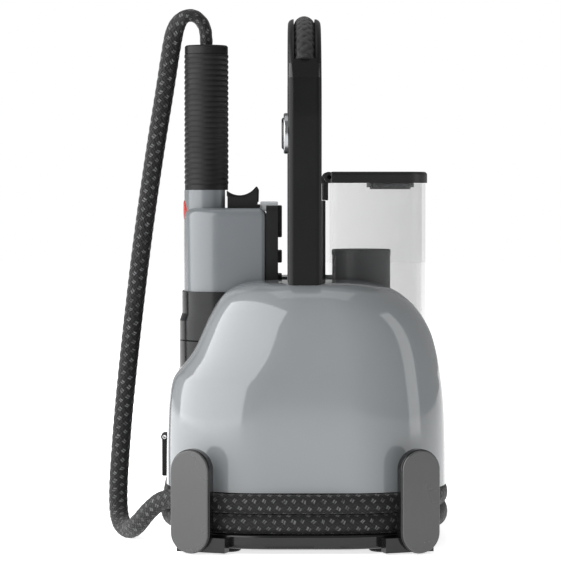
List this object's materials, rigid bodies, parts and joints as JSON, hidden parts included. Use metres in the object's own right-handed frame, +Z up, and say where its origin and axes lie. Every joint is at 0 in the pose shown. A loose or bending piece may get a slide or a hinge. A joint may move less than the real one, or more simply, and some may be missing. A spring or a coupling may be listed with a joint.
{
  "type": "garment steamer",
  "caption": "Docked garment steamer with a domed body, hoop handle, clear lidded tank, corded steam head with trigger, and a hose wound round its base.",
  "frame": {"origin": "on the floor under the middle of the base", "axes": "+Z up, -Y towards the front, -X towards the docked handpiece"},
  "size_m": [0.2047, 0.2325, 0.3203],
  "materials": {
    "shell_grey": "gloss",
    "dock_dark": "gloss",
    "head_grey": "satin gloss",
    "black_gloss": "gloss",
    "cap_satin": "satin",
    "black_matte": "fine texture",
    "lid_dark": "satin gloss",
    "rubber_black": "matte",
    "hose_braid": "woven braid with pale flecks",
    "bezel_ring": "polished",
    "red_accent": "gloss",
    "tank_clear": "clear",
    "cartridge_black": "fine texture",
    "clip_silver": "satin",
    "steel": "brushed",
    "boiler_metal": "cast",
    "inner_white": "moulded",
    "board_green": "printed board",
    "silicone": "soft"
  },
  "bodies": {
    "root": {"body_shell": "shell_grey", "dock_cup": "dock_dark", "dock_pedestal": "dock_dark", "base_tray": "black_gloss", "cord_post_front_left": "black_gloss", "cord_post_front_right": "black_gloss", "cord_post_rear_left": "black_gloss", "cord_post_rear_right": "black_gloss", "handle_collars": "black_gloss", "post_caps": "cap_satin", "handle_frame": "black_matte", "keeper_bracket": "black_matte", "tank_guide": "black_matte", "base_gland": "black_matte", "mains_gland": "black_matte", "rubber_feet": "rubber_black", "hose_lower": "hose_braid", "hose_winding": "hose_braid", "handle_rope": "hose_braid", "button_bezel": "bezel_ring", "keeper_pin": "steel", "tray_screws": "steel", "heating_element": "steel", "boiler": "boiler_metal", "pump": "inner_white", "solenoid_valve": "inner_white", "water_inlet": "inner_white", "power_switch": "inner_white", "control_board": "board_green", "internal_tubes": "silicone"},
    "power_button": {"power_button": "black_gloss"},
    "cord_keeper": {"cord_keeper": "black_matte"},
    "handpiece": {"handpiece_shell_front": "head_grey", "handpiece_shell_rear": "head_grey", "grip_core": "black_matte", "grip_sleeve": "rubber_black", "grip_end_cap": "black_matte", "hose_gland": "black_matte", "steam_chamber": "boiler_metal", "soleplate": "steel", "fabric_guard": "black_matte", "guard_clip": "clip_silver", "trigger_bracket": "black_matte", "trigger_pin": "steel", "trigger_switch": "inner_white", "trigger_spring": "steel", "hose_upper": "hose_braid"},
    "trigger": {"trigger": "black_matte"},
    "mode_button": {"mode_button": "red_accent"},
    "tank": {"tank_body": "tank_clear", "hinge_bracket": "black_matte", "lid_hinge_pin": "steel", "tank_valve": "inner_white"},
    "lid": {"tank_lid": "lid_dark", "lid_seal": "rubber_black"},
    "cartridge": {"filter_cartridge": "cartridge_black"}
  },
  "joints": [
    {"name": "handpiece_lift", "type": "slide", "parent": "root", "child": "handpiece", "axis": [0, 0, 1], "range_m": [0, 0.1]},
    {"name": "trigger_pull", "type": "hinge", "parent": "handpiece", "child": "trigger", "pos_m": [-0.0361, 0, 0.2026], "axis": [0, -1, 0], "range_deg": [0, 7], "stiffness_Nm_per_rad": 0.6, "springref_deg": -6.88},
    {"name": "mode_button_press", "type": "slide", "parent": "handpiece", "child": "mode_button", "axis": [1, 0, 0], "range_m": [0, 0.001], "stiffness_N_per_m": 900, "springref_m": -0.001},
    {"name": "power_button_press", "type": "slide", "parent": "root", "child": "power_button", "axis": [1, 0, 0], "range_m": [0, 0.0012], "stiffness_N_per_m": 1200, "springref_m": -0.001},
    {"name": "tank_lift", "type": "slide", "parent": "root", "child": "tank", "axis": [0, 0, 1], "range_m": [0, 0.11]},
    {"name": "lid_hinge", "type": "hinge", "parent": "tank", "child": "lid", "pos_m": [0.0152, 0, 0.2167], "axis": [0, -1, 0], "range_deg": [0, 85]},
    {"name": "cartridge_pull", "type": "slide", "parent": "tank", "child": "cartridge", "axis": [0, 0, 1], "range_m": [0, 0.03]},
    {"name": "keeper_hinge", "type": "hinge", "parent": "root", "child": "cord_keeper", "pos_m": [-0.0844, -0.02, 0.0598], "axis": [0, 1, 0], "range_deg": [0, 80]}
  ]
}
